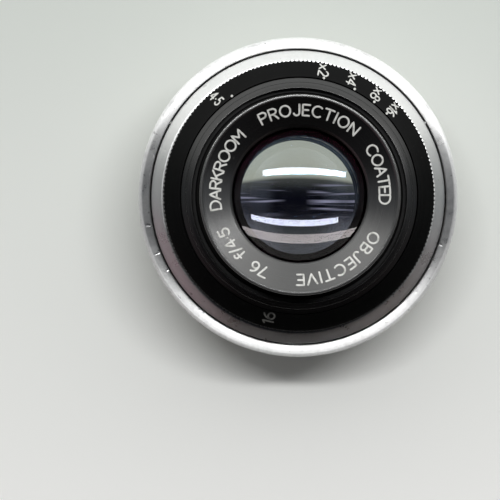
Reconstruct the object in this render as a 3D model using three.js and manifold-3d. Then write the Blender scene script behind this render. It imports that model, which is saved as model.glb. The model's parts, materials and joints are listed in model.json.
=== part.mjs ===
// Enlarger lens, 76 mm f/4.5, four elements in three groups, with an eight-bladed iris and a
// 39 mm screw flange. Millimetres. The optical axis is +Z, the rear rim rests on z = 0, front up.

import * as THREE from "three";
import { mergeVertices } from "three/addons/utils/BufferGeometryUtils.js";
import Module from "manifold-3d";

const wasm = await Module();
wasm.setup();

// ---- Driving dimensions ------------------------------------------------------------------

const OUTER_SIDES = 48; // sides of a turned piece that shows
const INNER_SIDES = 32; // sides of a turned piece inside
const SMALL_SIDES = 8; // sides of screws, pins and drilled holes

const FLANGE_RADIUS = 24;
const SEAT_Z = 10.5; // the face that bears on the lens board
const FLANGE_TOP_Z = 15.5;
const THREAD_RADIUS = 19.5; // 39 mm thread
const THREAD_PITCH = 25.4 / 26;
const THREAD_DEPTH = 0.6;
const THREAD_TURNS = 4;
const THREAD_REAR_Z = 5.5;

const BARREL_BORE = 15;
const BARREL_TUBE = 17;
const BARREL_REAR_Z = 3;
const SHOULDER_RADIUS = 22;
const SHOULDER_Z = 13;
const LAND_Z = 16.5; // top of the silver shoulder, under the aperture ring

const GUIDE_RADIUS = 16.75; // the aperture ring turns on this
const GUIDE_TOP_Z = 21.2;
const HOUSING_BORE = 13.6;
const HOUSING_TOP_Z = 22;

const RING_BORE = 16.95;
const RING_BOTTOM_Z = 16.8;
const RING_EDGE_Z = 21.1; // top of the knurled band
const RING_TOP_Z = 22.4;
const KNURL_TEETH = 200;
const KNURL_CREST = 20.05;
const KNURL_ROOT = 19.8;

const IRIS_BLADES = 8;
const BLADE_RADIUS = 11.1; // middle of a blade's strip, and the circle of the pivots
const BLADE_HALF_WIDTH = 1.9;
const BLADE_SPAN = 130; // degrees from pivot to drive pin
const BLADE_OVERHANG = 6; // degrees of strip past each pin
const BLADE_THICKNESS = 0.08;
const BLADE_RISE = 1.8; // from the pivot to the drive pin, so that the blades pass over each other
const BLADE_LOW_Z = 15.5;
const BLADE_TURN = 38; // degrees that a blade turns to close
const BLADE_STEPS = 10;
const PIN_RADIUS = 0.3;
const FULL_STOP_RADIUS = 8.4;
const RING_TURN = 81; // degrees from fully open to the smallest stop
const PLATE_Z = 14.6;
const PLATE_TOP_Z = 15.3;
const ACTUATOR_Z = 17.5;
const ACTUATOR_TOP_Z = 18.6;
const ACTUATOR_RADIUS = 13.4;
const SLOT_HALF_WIDTH = 0.45;
const SLOT_STEPS = 5;

const DRIVE_Z = 18.05;
const DRIVE_ANGLE = 200; // where the drive screw sits with the iris open
const DRIVE_CLEARANCE = 5; // degrees past each end of its travel
const DRIVE_HEAD = { radius: 1.1, from: 18.25, to: 19.35 };
const DRIVE_SHANK = { radius: 0.62, from: 15.3, to: 18.4 };
const DRIVE_TIP = { radius: 0.34, from: 12.75, to: 15.4 };

const RIM_TOP_Z = 27.6;
const NAME_RING_RADIUS = 14.5;
const NAME_RING_BORE = 9.8;
const DISH_SLOPE = 21; // degrees
const CELL_TOP_Z = 25.3;

const FRONT_ELEMENT_RADIUS = 9.9;
const MIDDLE_ELEMENT_RADIUS = 8.6;
const REAR_ELEMENT_RADIUS = 9.9;
const CEMENT_GAP = 0.02;
const SURFACE_STEPS = 4;

// ---- Materials ---------------------------------------------------------------------------

function finish(colour, roughness, metalness) {
  return new THREE.MeshStandardMaterial({ color: colour, roughness, metalness });
}

const satinAluminium = () => finish(0xc9c9c6, 0.32, 1);
const blackAnodised = () => finish(0x121414, 0.45, 0.4);
const brass = () => finish(0xb59a5a, 0.35, 1);
const bladeSteel = () => finish(0x3a3d42, 0.4, 0.8);
const screwSteel = () => finish(0x8d8f92, 0.3, 1);

function opticalGlass() {
  const glass = finish(0xdfe6ea, 0.03, 0);
  glass.transparent = true;
  glass.opacity = 0.35;
  return glass;
}

// ---- Geometry helpers --------------------------------------------------------------------

const radians = THREE.MathUtils.degToRad;

// Turns a closed outline of [radius, z] corners about the axis.
function turned(outline, sides) {
  const points = outline.map(([radius, z]) => new THREE.Vector2(radius, z));
  if (THREE.ShapeUtils.area(points) < 0) points.reverse();
  points.push(points[0].clone());
  return new THREE.LatheGeometry(points, sides).rotateX(Math.PI / 2);
}

// Turns an open outline that starts and ends on the axis, from its bottom to its top.
function turnedSolid(outline, sides) {
  const points = outline.map(([radius, z]) => new THREE.Vector2(radius, z));
  return new THREE.LatheGeometry(points, sides).rotateX(Math.PI / 2);
}

function asSolid(geometry) {
  const bare = geometry.clone();
  bare.deleteAttribute("normal");
  bare.deleteAttribute("uv");
  const merged = mergeVertices(bare, 1e-4);
  const mesh = new wasm.Mesh({
    numProp: 3,
    vertProperties: merged.attributes.position.array,
    triVerts: new Uint32Array(merged.index.array),
  });
  return new wasm.Manifold(mesh);
}

function asGeometry(solid) {
  const mesh = solid.getMesh();
  const geometry = new THREE.BufferGeometry();
  geometry.setAttribute("position", new THREE.BufferAttribute(mesh.vertProperties, 3));
  geometry.setIndex(new THREE.BufferAttribute(mesh.triVerts, 1));
  return geometry;
}

const joined = (...geometries) =>
  asGeometry(geometries.map(asSolid).reduce((sum, solid) => sum.add(solid)));

const cut = (body, tools) =>
  asGeometry(tools.map(asSolid).reduce((left, tool) => left.subtract(tool), asSolid(body)));

// A cylinder that runs outwards along a radius, from one distance to another.
function radialPin(radius, from, to, angle, z) {
  return new THREE.CylinderGeometry(radius, radius, to - from, SMALL_SIDES)
    .rotateZ(-Math.PI / 2)
    .translate((from + to) / 2, 0, 0)
    .rotateZ(radians(angle))
    .translate(0, 0, z);
}

function uprightPin(radius, bottom, top, x, y) {
  return new THREE.CylinderGeometry(radius, radius, top - bottom, SMALL_SIDES)
    .rotateX(Math.PI / 2)
    .translate(x, y, (bottom + top) / 2);
}

// A bar through the axis, for the two spanner slots of a ring.
function slotBar(width, length, bottom, top, angle) {
  return new THREE.BoxGeometry(length, width, top - bottom)
    .translate(0, 0, (bottom + top) / 2)
    .rotateZ(radians(angle));
}

// Heights of a spherical surface over the plane of its edge, from the edge to the axis.
function surface(curvature, edgeRadius) {
  const depth = (radius) => Math.sqrt(curvature ** 2 - radius ** 2);
  const points = [];
  for (let i = 0; i <= SURFACE_STEPS; i += 1) {
    const radius = edgeRadius * Math.cos((i / SURFACE_STEPS) * (Math.PI / 2));
    points.push([i === SURFACE_STEPS ? 0 : radius, depth(radius) - depth(edgeRadius)]);
  }
  return points;
}

// A lens element. A curvature is positive where that surface bulges out of the glass.
function element(radius, rearZ, frontZ, rearCurvature, frontCurvature) {
  const side = (curvature, z, out) => {
    if (curvature === Infinity) return [[radius, z], [0, z]];
    const bulge = Math.sign(curvature) * out;
    return surface(Math.abs(curvature), radius).map(([r, rise]) => [r, z + bulge * rise]);
  };
  const rear = side(rearCurvature, rearZ, -1).reverse();
  const front = side(frontCurvature, frontZ, 1);
  return turnedSolid([...rear, ...front], INNER_SIDES);
}

const root = new THREE.Group();

function place(name, geometry, material, parent = root) {
  const mesh = new THREE.Mesh(geometry, material);
  mesh.name = name;
  parent.add(mesh);
  return mesh;
}

// ---- Silver outer pieces -----------------------------------------------------------------

const ORIENTATION_SCREW_Z = 13.7;
const ORIENTATION_SCREW_RADIUS = 0.7;
const ORIENTATION_SCREW_ANGLES = [30, 150, 270];
const RECESS_RADIUS = 22.25;
const EDGE_ROUND_WIDTH = 0.5;
const EDGE_ROUND_HEIGHT = 0.7;
const MOUNT_BORE = 17.1;

function threadOutline() {
  const rootRadius = THREAD_RADIUS - THREAD_DEPTH;
  const points = [];
  for (let turn = THREAD_TURNS; turn > 0; turn -= 1) {
    const z = THREAD_REAR_Z + turn * THREAD_PITCH;
    points.push([rootRadius, z], [THREAD_RADIUS, z - THREAD_PITCH / 2]);
  }
  points.push([rootRadius, THREAD_REAR_Z]);
  return points;
}

function roundedEdge() {
  const centreRadius = FLANGE_RADIUS - EDGE_ROUND_WIDTH;
  const centreZ = FLANGE_TOP_Z - EDGE_ROUND_HEIGHT;
  return [90, 60, 30, 0].map((angle) => [
    centreRadius + EDGE_ROUND_WIDTH * Math.cos(radians(angle)),
    centreZ + EDGE_ROUND_HEIGHT * Math.sin(radians(angle)),
  ]);
}

function mountRing() {
  const chamfer = 0.4;
  const relief = 0.2;
  const body = turned(
    [
      [MOUNT_BORE, THREAD_REAR_Z],
      [MOUNT_BORE, SHOULDER_Z],
      [RECESS_RADIUS, SHOULDER_Z],
      [RECESS_RADIUS, FLANGE_TOP_Z],
      ...roundedEdge(),
      [FLANGE_RADIUS, SEAT_Z + chamfer],
      [FLANGE_RADIUS - chamfer, SEAT_Z],
      [THREAD_RADIUS + relief, SEAT_Z],
      [THREAD_RADIUS + relief, SEAT_Z + relief],
      [THREAD_RADIUS - THREAD_DEPTH, SEAT_Z + relief],
      ...threadOutline(),
    ],
    OUTER_SIDES,
  );
  const holeRadius = ORIENTATION_SCREW_RADIUS + 0.1;
  const holeStart = MOUNT_BORE + 3;
  const holes = ORIENTATION_SCREW_ANGLES.map((angle) =>
    radialPin(holeRadius, holeStart, FLANGE_RADIUS + 1, angle, ORIENTATION_SCREW_Z),
  );
  return cut(body, holes);
}

function orientationScrew(angle) {
  const inner = SHOULDER_RADIUS + 0.05;
  const outer = FLANGE_RADIUS - 0.3;
  const slotSize = [0.5, 0.25, 2];
  const slot = new THREE.BoxGeometry(...slotSize)
    .translate(outer, 0, ORIENTATION_SCREW_Z)
    .rotateZ(radians(angle));
  return cut(
    radialPin(ORIENTATION_SCREW_RADIUS, inner, outer, angle, ORIENTATION_SCREW_Z),
    [slot],
  );
}

const SPRING_GROOVE_Z = 16;
const SPRING_GROOVE = [17.1, 18.7];
const CONE_FOOT_Z = 15.4;
const CONE_TOP_RADIUS = 20.45;
const HOUSING_LEDGE = 12.5;

function mainBarrel() {
  const ledgeBore = BARREL_BORE - 1.1;
  const ledgeRearZ = HOUSING_LEDGE - 1;
  return turned(
    [
      [BARREL_BORE, BARREL_REAR_Z],
      [BARREL_TUBE, BARREL_REAR_Z],
      [BARREL_TUBE, SHOULDER_Z],
      [SHOULDER_RADIUS, SHOULDER_Z],
      [SHOULDER_RADIUS, CONE_FOOT_Z],
      [CONE_TOP_RADIUS, LAND_Z],
      [SPRING_GROOVE[1], LAND_Z],
      [SPRING_GROOVE[1], SPRING_GROOVE_Z],
      [SPRING_GROOVE[0], SPRING_GROOVE_Z],
      [SPRING_GROOVE[0], LAND_Z],
      [BARREL_BORE, LAND_Z],
      [BARREL_BORE, HOUSING_LEDGE],
      [ledgeBore, HOUSING_LEDGE],
      [ledgeBore, ledgeRearZ],
      [BARREL_BORE, ledgeRearZ],
    ],
    OUTER_SIDES,
  );
}

function mountLockRing() {
  const bottom = THREAD_REAR_Z - 1.4;
  const rimRadius = 18.7;
  const slotWidth = 1.4;
  const slotTop = bottom + 0.6;
  const ring = turned(
    [
      [MOUNT_BORE, bottom],
      [rimRadius, bottom],
      [rimRadius, THREAD_REAR_Z],
      [MOUNT_BORE, THREAD_REAR_Z],
    ],
    INNER_SIDES,
  );
  return cut(ring, [slotBar(slotWidth, 2 * rimRadius + 1, bottom - 1, slotTop, 0)]);
}

// ---- Aperture ring and what turns with it ------------------------------------------------

function knurledBand(bottom, top) {
  const outline = new THREE.Shape();
  for (let i = 0; i < KNURL_TEETH * 2; i += 1) {
    const angle = (i / KNURL_TEETH) * Math.PI;
    const radius = i % 2 ? KNURL_ROOT : KNURL_CREST;
    const point = [radius * Math.cos(angle), radius * Math.sin(angle)];
    if (i) outline.lineTo(...point);
    else outline.moveTo(...point);
  }
  const hole = new THREE.Path().absarc(0, 0, RING_BORE + 1, 0, Math.PI * 2);
  outline.holes.push(hole);
  const band = { depth: top - bottom, bevelEnabled: false, curveSegments: 16 };
  return new THREE.ExtrudeGeometry(outline, band).translate(0, 0, bottom);
}

const COLLAR_RADIUS = 17.3;
const REBATE_RADIUS = 17.45;
const REBATE_Z = 21;
const FACE_FOOT_RADIUS = 19.85;

function apertureRing() {
  const bodyRadius = KNURL_ROOT - 0.1;
  const bandBottom = RING_BOTTOM_Z + 0.25;
  const bandTop = RING_EDGE_Z - 0.15;
  const body = turned(
    [
      [RING_BORE, RING_BOTTOM_Z],
      [bodyRadius, RING_BOTTOM_Z],
      [bodyRadius, bandTop - 0.1],
      [FACE_FOOT_RADIUS, bandTop - 0.1],
      [FACE_FOOT_RADIUS, RING_EDGE_Z],
      [REBATE_RADIUS, RING_TOP_Z],
      [REBATE_RADIUS, REBATE_Z],
      [RING_BORE, REBATE_Z],
    ],
    OUTER_SIDES,
  );
  const holeRadius = DRIVE_SHANK.radius + 0.13;
  const seatRadius = DRIVE_HEAD.radius + 0.15;
  const seatFloor = DRIVE_HEAD.from - 0.1;
  const screwHole = radialPin(holeRadius, RING_BORE - 1, DRIVE_HEAD.from, DRIVE_ANGLE, DRIVE_Z);
  const screwSeat = radialPin(seatRadius, seatFloor, KNURL_CREST + 1, DRIVE_ANGLE, DRIVE_Z);
  return cut(joined(body, knurledBand(bandBottom, bandTop)), [screwHole, screwSeat]);
}

function driveScrew() {
  const pins = [DRIVE_HEAD, DRIVE_SHANK, DRIVE_TIP].map(({ radius, from, to }) =>
    radialPin(radius, from, to, DRIVE_ANGLE, DRIVE_Z),
  );
  const slotSize = [0.9, 0.35, 3];
  const slot = new THREE.BoxGeometry(...slotSize)
    .translate(DRIVE_HEAD.to, 0, DRIVE_Z)
    .rotateZ(radians(DRIVE_ANGLE));
  return cut(joined(...pins), [slot]);
}

// A wavy washer, three waves round, that presses the aperture ring forward.
function waveSpring() {
  const middle = (SPRING_GROOVE_Z + RING_BOTTOM_Z) / 2 - 0.02;
  const half = 0.07;
  const waveHeight = 0.18;
  const inner = SPRING_GROOVE[0] + 0.15;
  const outer = SPRING_GROOVE[1] - 0.15;
  const washer = turned(
    [
      [inner, middle - half],
      [outer, middle - half],
      [outer, middle + half],
      [inner, middle + half],
    ],
    INNER_SIDES,
  );
  const places = washer.attributes.position;
  for (let i = 0; i < places.count; i += 1) {
    const angle = Math.atan2(places.getY(i), places.getX(i));
    places.setZ(i, places.getZ(i) + waveHeight * Math.sin(3 * angle));
  }
  return washer;
}

// ---- Front barrel, collar and front cell -------------------------------------------------

// A sector of a ring, from one angle to another in degrees.
function ringSector(inner, outer, from, to, bottom, top) {
  const sector = new THREE.Shape();
  sector.absarc(0, 0, outer, radians(from), radians(to), false);
  sector.absarc(0, 0, inner, radians(to), radians(from), true);
  sector.closePath();
  const solid = { depth: top - bottom, bevelEnabled: false, curveSegments: 12 };
  return new THREE.ExtrudeGeometry(sector, solid).translate(0, 0, bottom);
}

const NECK_RADIUS = 15.1;
const HOUSING_FLOOR_BORE = 10.5;

function frontBarrel() {
  const body = turned(
    [
      [BARREL_BORE - 0.1, HOUSING_LEDGE + 0.1],
      [BARREL_BORE - 0.1, LAND_Z],
      [GUIDE_RADIUS, LAND_Z],
      [GUIDE_RADIUS, GUIDE_TOP_Z],
      [NECK_RADIUS, GUIDE_TOP_Z],
      [NECK_RADIUS, HOUSING_TOP_Z],
      [HOUSING_BORE, HOUSING_TOP_Z],
      [HOUSING_BORE, PLATE_Z],
      [HOUSING_FLOOR_BORE, PLATE_Z],
      [HOUSING_FLOOR_BORE, PLATE_Z - 1],
      [HOUSING_FLOOR_BORE + 1, HOUSING_LEDGE + 0.1],
    ],
    INNER_SIDES,
  );
  const slotHalf = 0.8;
  const slot = ringSector(
    HOUSING_BORE - 1,
    GUIDE_RADIUS + 1,
    DRIVE_ANGLE - DRIVE_CLEARANCE,
    DRIVE_ANGLE + RING_TURN + DRIVE_CLEARANCE,
    DRIVE_Z - slotHalf,
    DRIVE_Z + slotHalf,
  );
  return cut(body, [slot]);
}

function frontCollar() {
  const bore = NECK_RADIUS + 0.1;
  const lowerStep = [COLLAR_RADIUS, 22.25];
  const stepFoot = [16.65, 22.55];
  const upperStep = [16.6, 22.8];
  const crest = [15.8, 23.15];
  const recess = 15.7;
  return turned(
    [
      [bore, GUIDE_TOP_Z],
      [COLLAR_RADIUS, GUIDE_TOP_Z],
      lowerStep,
      stepFoot,
      upperStep,
      crest,
      [recess, crest[1] - 0.05],
      [recess, HOUSING_TOP_Z],
      [bore, HOUSING_TOP_Z],
    ],
    OUTER_SIDES,
  );
}

const CELL_REAR_Z = 19.6;
const MIDDLE_SEAT_Z = 23;
const FRONT_SEAT_Z = 23.4;
const FRONT_STOP_RADIUS = 8.2;
const SPACER_DEPTH = 0.5;
const SPACER_BORE = 9.2;

function frontCell() {
  return turned(
    [
      [HOUSING_BORE - 0.1, CELL_REAR_Z],
      [HOUSING_BORE - 0.1, HOUSING_TOP_Z],
      [NAME_RING_RADIUS - 0.1, HOUSING_TOP_Z],
      [NAME_RING_RADIUS - 0.1, CELL_TOP_Z],
      [FRONT_ELEMENT_RADIUS + 0.1, CELL_TOP_Z],
      [FRONT_ELEMENT_RADIUS + 0.1, FRONT_SEAT_Z],
      [FRONT_STOP_RADIUS, FRONT_SEAT_Z],
      [FRONT_STOP_RADIUS, MIDDLE_SEAT_Z],
      [MIDDLE_ELEMENT_RADIUS + 0.1, MIDDLE_SEAT_Z],
      [MIDDLE_ELEMENT_RADIUS + 0.1, CELL_REAR_Z],
    ],
    INNER_SIDES,
  );
}

function nameRing() {
  const rimInner = NAME_RING_RADIUS - 0.55;
  const lip = NAME_RING_BORE + 0.35;
  const lipFall = 0.3;
  const edge = 0.1;
  const dishTop = RIM_TOP_Z - 0.15;
  const drop = (rimInner - lip) * Math.tan(radians(DISH_SLOPE));
  return turned(
    [
      [NAME_RING_BORE, CELL_TOP_Z],
      [NAME_RING_RADIUS, CELL_TOP_Z],
      [NAME_RING_RADIUS, RIM_TOP_Z - edge],
      [NAME_RING_RADIUS - edge, RIM_TOP_Z],
      [rimInner + 0.15, RIM_TOP_Z],
      [rimInner, dishTop],
      [lip, dishTop - drop],
      [NAME_RING_BORE, dishTop - drop - lipFall],
    ],
    OUTER_SIDES,
  );
}

function frontSpacer() {
  return turned(
    [
      [SPACER_BORE, FRONT_SEAT_Z],
      [FRONT_ELEMENT_RADIUS, FRONT_SEAT_Z],
      [FRONT_ELEMENT_RADIUS, FRONT_SEAT_Z + SPACER_DEPTH],
      [SPACER_BORE, FRONT_SEAT_Z + SPACER_DEPTH],
    ],
    INNER_SIDES,
  );
}

// A thin threaded ring with two spanner slots in one of its faces.
function retainingRing(inner, outer, bottom, top, slotDepth) {
  const ring = turned(
    [
      [inner, bottom],
      [outer, bottom],
      [outer, top],
      [inner, top],
    ],
    INNER_SIDES,
  );
  const slotWidth = 0.8;
  const reach = 2 * outer + 1;
  const from = slotDepth > 0 ? top - slotDepth : bottom - 1;
  const to = slotDepth > 0 ? top + 1 : bottom - slotDepth;
  return cut(ring, [slotBar(slotWidth, reach, from, to, 0)]);
}

// ---- Iris --------------------------------------------------------------------------------

const PIVOT_HOLE_RADIUS = 0.4;
const IRIS_RING_BORE = 9;
const IRIS_RING_SLOT = 0.35;
const bladeAngle = (index) => (index * 360) / IRIS_BLADES;

function irisBasePlate() {
  const plate = turned(
    [
      [FULL_STOP_RADIUS, PLATE_Z],
      [HOUSING_BORE - 0.1, PLATE_Z],
      [HOUSING_BORE - 0.1, PLATE_TOP_Z],
      [FULL_STOP_RADIUS, PLATE_TOP_Z],
    ],
    INNER_SIDES,
  );
  const holes = [];
  for (let i = 0; i < IRIS_BLADES; i += 1) {
    const angle = radians(bladeAngle(i));
    const x = BLADE_RADIUS * Math.cos(angle);
    const y = BLADE_RADIUS * Math.sin(angle);
    holes.push(uprightPin(PIVOT_HOLE_RADIUS, PLATE_Z - 1, PLATE_TOP_Z + 1, x, y));
  }
  return cut(plate, holes);
}

// The middle line of a blade in its own frame, whose origin is the pivot.
class BladeLine extends THREE.Curve {
  getPoint(t, target = new THREE.Vector3()) {
    const degrees = -BLADE_OVERHANG + t * (BLADE_SPAN + 2 * BLADE_OVERHANG);
    const angle = radians(degrees);
    return target.set(
      BLADE_RADIUS * Math.cos(angle) - BLADE_RADIUS,
      BLADE_RADIUS * Math.sin(angle),
      0,
    );
  }
}

// Lifts a flat strip steadily from its pivot to its drive pin, so that the blades interleave.
function lifted(strip) {
  const places = strip.attributes.position;
  for (let i = 0; i < places.count; i += 1) {
    const angle = Math.atan2(places.getY(i), places.getX(i) + BLADE_RADIUS);
    places.setZ(i, places.getZ(i) + (BLADE_RISE * angle) / radians(BLADE_SPAN));
  }
  return strip;
}

function irisBlade() {
  const section = new THREE.Shape();
  const half = BLADE_THICKNESS / 2;
  section.moveTo(-half, -BLADE_HALF_WIDTH);
  section.lineTo(half, -BLADE_HALF_WIDTH);
  section.lineTo(half, BLADE_HALF_WIDTH);
  section.lineTo(-half, BLADE_HALF_WIDTH);
  section.closePath();
  const path = { extrudePath: new BladeLine(), steps: BLADE_STEPS, bevelEnabled: false };
  const strip = lifted(new THREE.ExtrudeGeometry(section, path));
  const end = radians(BLADE_SPAN);
  const endX = BLADE_RADIUS * Math.cos(end) - BLADE_RADIUS;
  const endY = BLADE_RADIUS * Math.sin(end);
  const pivotPin = uprightPin(PIN_RADIUS, PLATE_Z + 0.1 - BLADE_LOW_Z, 0, 0, 0);
  const driveTop = ACTUATOR_TOP_Z - 0.1 - BLADE_LOW_Z;
  const drivePin = uprightPin(PIN_RADIUS, BLADE_RISE, driveTop, endX, endY);
  return joined(strip, pivotPin, drivePin);
}

// Where the drive pin of the first blade stands in the turning ring's own frame.
function pinInRing(fraction) {
  const end = radians(BLADE_SPAN);
  const arm = new THREE.Vector2(Math.cos(end) - 1, Math.sin(end)).multiplyScalar(BLADE_RADIUS);
  const origin = new THREE.Vector2();
  arm.rotateAround(origin, radians(BLADE_TURN * fraction));
  arm.x += BLADE_RADIUS;
  return arm.rotateAround(origin, -radians(RING_TURN * fraction));
}

// The outline of one slot: the pin's path, widened to both sides, with round ends.
function slotShape() {
  const path = [];
  for (let i = 0; i <= SLOT_STEPS; i += 1) path.push(pinInRing(i / SLOT_STEPS));
  const width = SLOT_HALF_WIDTH;
  const pieces = path.map((p) =>
    uprightPin(width, ACTUATOR_Z - 1, ACTUATOR_TOP_Z + 1, p.x, p.y),
  );
  for (let i = 0; i < SLOT_STEPS; i += 1) {
    const along = path[i + 1].clone().sub(path[i]);
    const middle = path[i].clone().add(path[i + 1]).multiplyScalar(0.5);
    const link = new THREE.BoxGeometry(along.length(), 2 * width, ACTUATOR_TOP_Z - ACTUATOR_Z + 2);
    link.rotateZ(along.angle());
    pieces.push(link.translate(middle.x, middle.y, (ACTUATOR_Z + ACTUATOR_TOP_Z) / 2));
  }
  return joined(...pieces);
}

function irisActuatingRing() {
  const bore = FULL_STOP_RADIUS;
  const pinHole = DRIVE_TIP.radius + 0.08;
  const pinHoleStart = 12.5;
  const plate = turned(
    [
      [bore, ACTUATOR_Z],
      [ACTUATOR_RADIUS, ACTUATOR_Z],
      [ACTUATOR_RADIUS, ACTUATOR_TOP_Z],
      [bore, ACTUATOR_TOP_Z],
    ],
    INNER_SIDES,
  );
  const slot = slotShape();
  const tools = [radialPin(pinHole, pinHoleStart, ACTUATOR_RADIUS + 1, DRIVE_ANGLE, DRIVE_Z)];
  for (let i = 0; i < IRIS_BLADES; i += 1) {
    tools.push(slot.clone().rotateZ(radians(bladeAngle(i))));
  }
  return cut(plate, tools);
}

// ---- Rear cell ---------------------------------------------------------------------------

const REAR_CELL_RADIUS = 15.9;
const REAR_GLASS_Z = 5;
const CEMENTED_EDGE_Z = 6.2;
const REAR_SEAT_Z = 10.3;
const REAR_THREAD_TOP_Z = 7;

function rearCell() {
  const edge = 0.3;
  const rimInner = 13.2;
  const recessFoot = [10.8, 2.6];
  const boreRearZ = 3.4;
  const bore = REAR_ELEMENT_RADIUS + 0.1;
  const seatBore = REAR_ELEMENT_RADIUS - 0.4;
  const housing = bore + 1.3;
  const housingTop = REAR_SEAT_Z + 0.6;
  const thread = BARREL_BORE - 0.1;
  return turned(
    [
      [rimInner, 0],
      [REAR_CELL_RADIUS - edge, 0],
      [REAR_CELL_RADIUS, edge],
      [REAR_CELL_RADIUS, BARREL_REAR_Z],
      [thread, BARREL_REAR_Z],
      [thread, REAR_THREAD_TOP_Z],
      [housing, REAR_THREAD_TOP_Z],
      [housing, housingTop],
      [seatBore, housingTop],
      [seatBore, REAR_SEAT_Z],
      [bore, REAR_SEAT_Z],
      [bore, boreRearZ],
      recessFoot,
    ],
    INNER_SIDES,
  );
}

// ---- Assembly ----------------------------------------------------------------------------

place("mount_ring", mountRing(), satinAluminium());
place("main_barrel", mainBarrel(), satinAluminium());
place("mount_lock_ring", mountLockRing(), brass());
ORIENTATION_SCREW_ANGLES.forEach((angle, index) => {
  place(`orientation_screw_${index + 1}`, orientationScrew(angle), screwSteel());
});

place("front_barrel", frontBarrel(), blackAnodised());
place("front_collar", frontCollar(), blackAnodised());
place("front_cell", frontCell(), blackAnodised());
place("name_ring", nameRing(), blackAnodised());
place("front_spacer", frontSpacer(), blackAnodised());
place("wave_spring", waveSpring(), screwSteel());

place("aperture_ring", apertureRing(), blackAnodised());
place("drive_screw", driveScrew(), screwSteel());
place("iris_actuating_ring", irisActuatingRing(), brass());

place("iris_base_plate", irisBasePlate(), blackAnodised());
place(
  "iris_retaining_ring",
  retainingRing(
    IRIS_RING_BORE,
    HOUSING_BORE - 0.15,
    ACTUATOR_TOP_Z + 0.15,
    CELL_REAR_Z - 0.1,
    IRIS_RING_SLOT,
  ),
  blackAnodised(),
);
const blade = irisBlade();
for (let i = 0; i < IRIS_BLADES; i += 1) {
  const pivotCircle = new THREE.Group();
  pivotCircle.rotation.z = radians(bladeAngle(i));
  root.add(pivotCircle);
  const mesh = place(`iris_blade_${i + 1}`, blade, bladeSteel(), pivotCircle);
  mesh.position.set(BLADE_RADIUS, 0, BLADE_LOW_Z);
}

const MIDDLE_REAR_Z = 20.1;
const MIDDLE_RING_BORE = 8.15;
const MIDDLE_RING_SLOT = 0.25;
const REAR_RING_BORE = REAR_ELEMENT_RADIUS - 0.5;
const REAR_RING_Z = 3.6;
const REAR_RING_TOP_Z = 4.65;
const REAR_RING_SLOT = 0.5;

const FRONT_CURVATURE = 26;
const MIDDLE_REAR_CURVATURE = -30;
const MIDDLE_FRONT_CURVATURE = -60;
const REAR_CURVATURE = 24;
const CEMENTED_CURVATURE = 30;
const REAR_FRONT_CURVATURE = -70;

place(
  "front_element",
  element(
    FRONT_ELEMENT_RADIUS,
    FRONT_SEAT_Z + SPACER_DEPTH,
    CELL_TOP_Z - 0.1,
    Infinity,
    FRONT_CURVATURE,
  ),
  opticalGlass(),
);
place(
  "middle_element",
  element(
    MIDDLE_ELEMENT_RADIUS,
    MIDDLE_REAR_Z,
    MIDDLE_SEAT_Z,
    MIDDLE_REAR_CURVATURE,
    MIDDLE_FRONT_CURVATURE,
  ),
  opticalGlass(),
);
place(
  "middle_retaining_ring",
  retainingRing(
    MIDDLE_RING_BORE,
    MIDDLE_ELEMENT_RADIUS,
    CELL_REAR_Z + 0.05,
    MIDDLE_REAR_Z,
    -MIDDLE_RING_SLOT,
  ),
  blackAnodised(),
);
place("rear_cell", rearCell(), blackAnodised());
place(
  "rear_outer_element",
  element(
    REAR_ELEMENT_RADIUS,
    REAR_GLASS_Z,
    CEMENTED_EDGE_Z,
    REAR_CURVATURE,
    CEMENTED_CURVATURE,
  ),
  opticalGlass(),
);
place(
  "rear_inner_element",
  element(
    REAR_ELEMENT_RADIUS,
    CEMENTED_EDGE_Z + CEMENT_GAP,
    REAR_SEAT_Z,
    -CEMENTED_CURVATURE,
    REAR_FRONT_CURVATURE,
  ),
  opticalGlass(),
);
place(
  "rear_retaining_ring",
  retainingRing(
    REAR_RING_BORE,
    REAR_ELEMENT_RADIUS + 0.05,
    REAR_RING_Z,
    REAR_RING_TOP_Z,
    -REAR_RING_SLOT,
  ),
  blackAnodised(),
);

export default root;
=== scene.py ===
"""Looks of the enlarger lens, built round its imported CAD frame.

Turned pieces are turned again from the outline of their CAD node, with far more sides, rounded
corners, a real knurl and a real thread. The axis of the lens is Z and its front is up.
"""

import json
import math

import bmesh
import bpy
from mathutils import Matrix, Vector

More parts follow.
